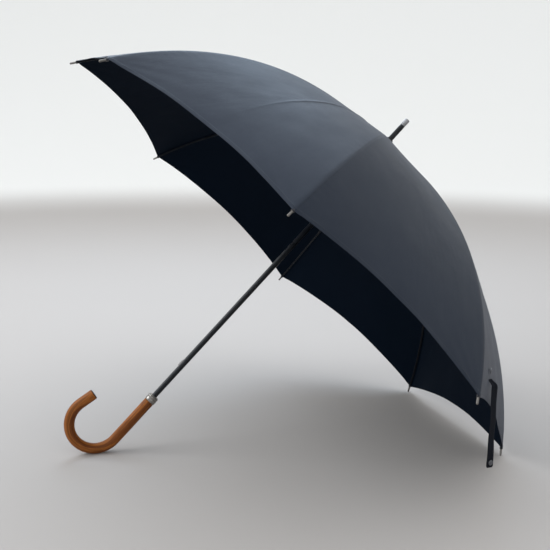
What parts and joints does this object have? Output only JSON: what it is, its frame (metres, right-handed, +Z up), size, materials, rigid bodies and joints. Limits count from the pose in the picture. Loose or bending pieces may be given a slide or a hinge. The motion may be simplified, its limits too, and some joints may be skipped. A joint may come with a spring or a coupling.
{
  "type": "stick umbrella",
  "caption": "Open stick umbrella with a long shaft, dark domed cloth canopy on folding steel ribs and a curved wooden crook handle, lying on its rib tips.",
  "frame": {"origin": "on the ground under the middle of the umbrella's box, as it lies at rest on two rib tips and the crook", "axes": "+Z up, +Y across the canopy's widest line, +X from the crook towards the canopy; the shaft lies in the XZ plane and rises towards +X"},
  "size_m": [0.7751, 0.9946, 0.7114],
  "materials": {
    "canopy_cloth": "satin, closely woven polyester",
    "rosette_cloth": "matt woven patch",
    "tip_metal": "satin",
    "black_steel": "semi-gloss",
    "black_plastic": "satin",
    "bright_steel": "bright",
    "shaft_lacquer": "high gloss",
    "ferrule_lacquer": "gloss",
    "cap_metal": "satin, worn",
    "crook_wood": "clear varnish, semi-gloss",
    "collar_metal": "polished",
    "snap_metal": "gun-metal"
  },
  "bodies": {
    "umbrella_shaft": {"shaft": "shaft_lacquer", "notch": "black_plastic", "notch_wire": "bright_steel", "inner_rosette": "rosette_cloth", "crown_washer": "black_plastic", "ferrule_tube": "ferrule_lacquer", "ferrule_cap": "cap_metal", "runner_stop": "bright_steel", "crook_handle": "crook_wood", "handle_collar": "collar_metal", "handle_pin": "bright_steel"},
    "runner": {"runner": "black_plastic", "runner_wire": "bright_steel"},
    "top_catch": {"top_catch": "bright_steel"},
    "bottom_catch": {"bottom_catch": "bright_steel"},
    "tie_strap": {"tie_strap": "canopy_cloth", "strap_snap": "snap_metal"},
    "rib_1": {"rib_1": "black_steel", "rib_tip_1": "tip_metal", "gore_1_half_a": "canopy_cloth", "gore_8_half_b": "canopy_cloth"},
    "stretcher_1": {"stretcher_1": "black_steel"},
    "rib_2": {"rib_2": "black_steel", "rib_tip_2": "tip_metal", "gore_2_half_a": "canopy_cloth", "gore_1_half_b": "canopy_cloth", "strap_socket": "snap_metal"},
    "stretcher_2": {"stretcher_2": "black_steel"},
    "rib_3": {"rib_3": "black_steel", "rib_tip_3": "tip_metal", "gore_3_half_a": "canopy_cloth", "gore_2_half_b": "canopy_cloth"},
    "stretcher_3": {"stretcher_3": "black_steel"},
    "rib_4": {"rib_4": "black_steel", "rib_tip_4": "tip_metal", "gore_4_half_a": "canopy_cloth", "gore_3_half_b": "canopy_cloth"},
    "stretcher_4": {"stretcher_4": "black_steel"},
    "rib_5": {"rib_5": "black_steel", "rib_tip_5": "tip_metal", "gore_5_half_a": "canopy_cloth", "gore_4_half_b": "canopy_cloth"},
    "stretcher_5": {"stretcher_5": "black_steel"},
    "rib_6": {"rib_6": "black_steel", "rib_tip_6": "tip_metal", "gore_6_half_a": "canopy_cloth", "gore_5_half_b": "canopy_cloth"},
    "stretcher_6": {"stretcher_6": "black_steel"},
    "rib_7": {"rib_7": "black_steel", "rib_tip_7": "tip_metal", "gore_7_half_a": "canopy_cloth", "gore_6_half_b": "canopy_cloth"},
    "stretcher_7": {"stretcher_7": "black_steel"},
    "rib_8": {"rib_8": "black_steel", "rib_tip_8": "tip_metal", "gore_8_half_a": "canopy_cloth", "gore_7_half_b": "canopy_cloth"},
    "stretcher_8": {"stretcher_8": "black_steel"}
  },
  "joints": [
    {"name": "runner_slide", "type": "slide", "parent": "umbrella_shaft", "child": "runner", "axis": [-0.697, 0, -0.7171], "range_m": [0, 0.3884], "deforming": ["gore_1_half_a", "gore_1_half_b", "gore_2_half_a", "gore_2_half_b", "gore_3_half_a", "gore_3_half_b", "gore_4_half_a", "gore_4_half_b", "gore_5_half_a", "gore_5_half_b", "gore_6_half_a", "gore_6_half_b", "gore_7_half_a", "gore_7_half_b", "gore_8_half_a", "gore_8_half_b", "tie_strap", "strap_snap", "strap_socket"]},
    {"name": "rib_1_fold", "type": "hinge", "parent": "umbrella_shaft", "child": "rib_1", "pos_m": [0.21541, -0.00344, 0.5393], "axis": [0.2744, 0.9239, -0.2667], "range_deg": [0, 61.6]},
    {"name": "stretcher_1_fold", "type": "hinge", "parent": "rib_1", "child": "stretcher_1", "pos_m": [0.34514, -0.10056, 0.33637], "axis": [0.2744, 0.9239, -0.2667], "range_deg": [-123.2, 0]},
    {"name": "rib_2_fold", "type": "hinge", "parent": "umbrella_shaft", "child": "rib_2", "pos_m": [0.21192, -0.00831, 0.5427], "axis": [0.6625, 0.3827, -0.6439], "range_deg": [0, 61.6]},
    {"name": "stretcher_2_fold", "type": "hinge", "parent": "rib_2", "child": "stretcher_2", "pos_m": [0.24316, -0.24278, 0.4355], "axis": [0.6625, 0.3827, -0.6439], "range_deg": [-123.2, 0]},
    {"name": "rib_3_fold", "type": "hinge", "parent": "umbrella_shaft", "child": "rib_3", "pos_m": [0.20698, -0.00831, 0.5475], "axis": [0.6625, -0.3827, -0.6439], "range_deg": [0, 61.6]},
    {"name": "stretcher_3_fold", "type": "hinge", "parent": "rib_3", "child": "stretcher_3", "pos_m": [0.09893, -0.24278, 0.57568], "axis": [0.6625, -0.3827, -0.6439], "range_deg": [-123.2, 0]},
    {"name": "rib_4_fold", "type": "hinge", "parent": "umbrella_shaft", "child": "rib_4", "pos_m": [0.20349, -0.00344, 0.55089], "axis": [0.2744, -0.9239, -0.2667], "range_deg": [0, 61.6]},
    {"name": "stretcher_4_fold", "type": "hinge", "parent": "rib_4", "child": "stretcher_4", "pos_m": [-0.00305, -0.10056, 0.6748], "axis": [0.2744, -0.9239, -0.2667], "range_deg": [-123.2, 0]},
    {"name": "rib_5_fold", "type": "hinge", "parent": "umbrella_shaft", "child": "rib_5", "pos_m": [0.20349, 0.00344, 0.55089], "axis": [-0.2744, -0.9239, 0.2667], "range_deg": [0, 61.6]},
    {"name": "stretcher_5_fold", "type": "hinge", "parent": "rib_5", "child": "stretcher_5", "pos_m": [-0.00305, 0.10056, 0.6748], "axis": [-0.2744, -0.9239, 0.2667], "range_deg": [-123.2, 0]},
    {"name": "rib_6_fold", "type": "hinge", "parent": "umbrella_shaft", "child": "rib_6", "pos_m": [0.20698, 0.00831, 0.5475], "axis": [-0.6625, -0.3827, 0.6439], "range_deg": [0, 61.6]},
    {"name": "stretcher_6_fold", "type": "hinge", "parent": "rib_6", "child": "stretcher_6", "pos_m": [0.09893, 0.24278, 0.57568], "axis": [-0.6625, -0.3827, 0.6439], "range_deg": [-123.2, 0]},
    {"name": "rib_7_fold", "type": "hinge", "parent": "umbrella_shaft", "child": "rib_7", "pos_m": [0.21192, 0.00831, 0.5427], "axis": [-0.6625, 0.3827, 0.6439], "range_deg": [0, 61.6]},
    {"name": "stretcher_7_fold", "type": "hinge", "parent": "rib_7", "child": "stretcher_7", "pos_m": [0.24316, 0.24278, 0.4355], "axis": [-0.6625, 0.3827, 0.6439], "range_deg": [-123.2, 0]},
    {"name": "rib_8_fold", "type": "hinge", "parent": "umbrella_shaft", "child": "rib_8", "pos_m": [0.21541, 0.00344, 0.5393], "axis": [-0.2744, 0.9239, 0.2667], "range_deg": [0, 61.6]},
    {"name": "stretcher_8_fold", "type": "hinge", "parent": "rib_8", "child": "stretcher_8", "pos_m": [0.34514, 0.10056, 0.33637], "axis": [-0.2744, 0.9239, 0.2667], "range_deg": [-123.2, 0]},
    {"name": "top_catch_press", "type": "slide", "parent": "umbrella_shaft", "child": "top_catch", "axis": [0.7171, 0, -0.697], "range_m": [0, 0.0026], "stiffness_N_per_m": 400, "springref_m": -0.002},
    {"name": "bottom_catch_press", "type": "slide", "parent": "umbrella_shaft", "child": "bottom_catch", "axis": [0.7171, 0, -0.697], "range_m": [0, 0.0026], "stiffness_N_per_m": 400, "springref_m": -0.002},
    {"name": "tie_strap_swing", "type": "hinge", "parent": "rib_2", "child": "tie_strap", "pos_m": [0.24563, -0.39669, 0.20603], "axis": [-0.9659, -0.2588, 0], "range_deg": [0, 100]}
  ],
  "couplings": [
    {"joint": "rib_1_fold", "follows": "runner_slide", "rad_per_m": 2.7633},
    {"joint": "stretcher_1_fold", "follows": "runner_slide", "rad_per_m": -5.5266},
    {"joint": "rib_2_fold", "follows": "runner_slide", "rad_per_m": 2.7633},
    {"joint": "stretcher_2_fold", "follows": "runner_slide", "rad_per_m": -5.5266},
    {"joint": "rib_3_fold", "follows": "runner_slide", "rad_per_m": 2.7633},
    {"joint": "stretcher_3_fold", "follows": "runner_slide", "rad_per_m": -5.5266},
    {"joint": "rib_4_fold", "follows": "runner_slide", "rad_per_m": 2.7633},
    {"joint": "stretcher_4_fold", "follows": "runner_slide", "rad_per_m": -5.5266},
    {"joint": "rib_5_fold", "follows": "runner_slide", "rad_per_m": 2.7633},
    {"joint": "stretcher_5_fold", "follows": "runner_slide", "rad_per_m": -5.5266},
    {"joint": "rib_6_fold", "follows": "runner_slide", "rad_per_m": 2.7633},
    {"joint": "stretcher_6_fold", "follows": "runner_slide", "rad_per_m": -5.5266},
    {"joint": "rib_7_fold", "follows": "runner_slide", "rad_per_m": 2.7633},
    {"joint": "stretcher_7_fold", "follows": "runner_slide", "rad_per_m": -5.5266},
    {"joint": "rib_8_fold", "follows": "runner_slide", "rad_per_m": 2.7633},
    {"joint": "stretcher_8_fold", "follows": "runner_slide", "rad_per_m": -5.5266}
  ]
}
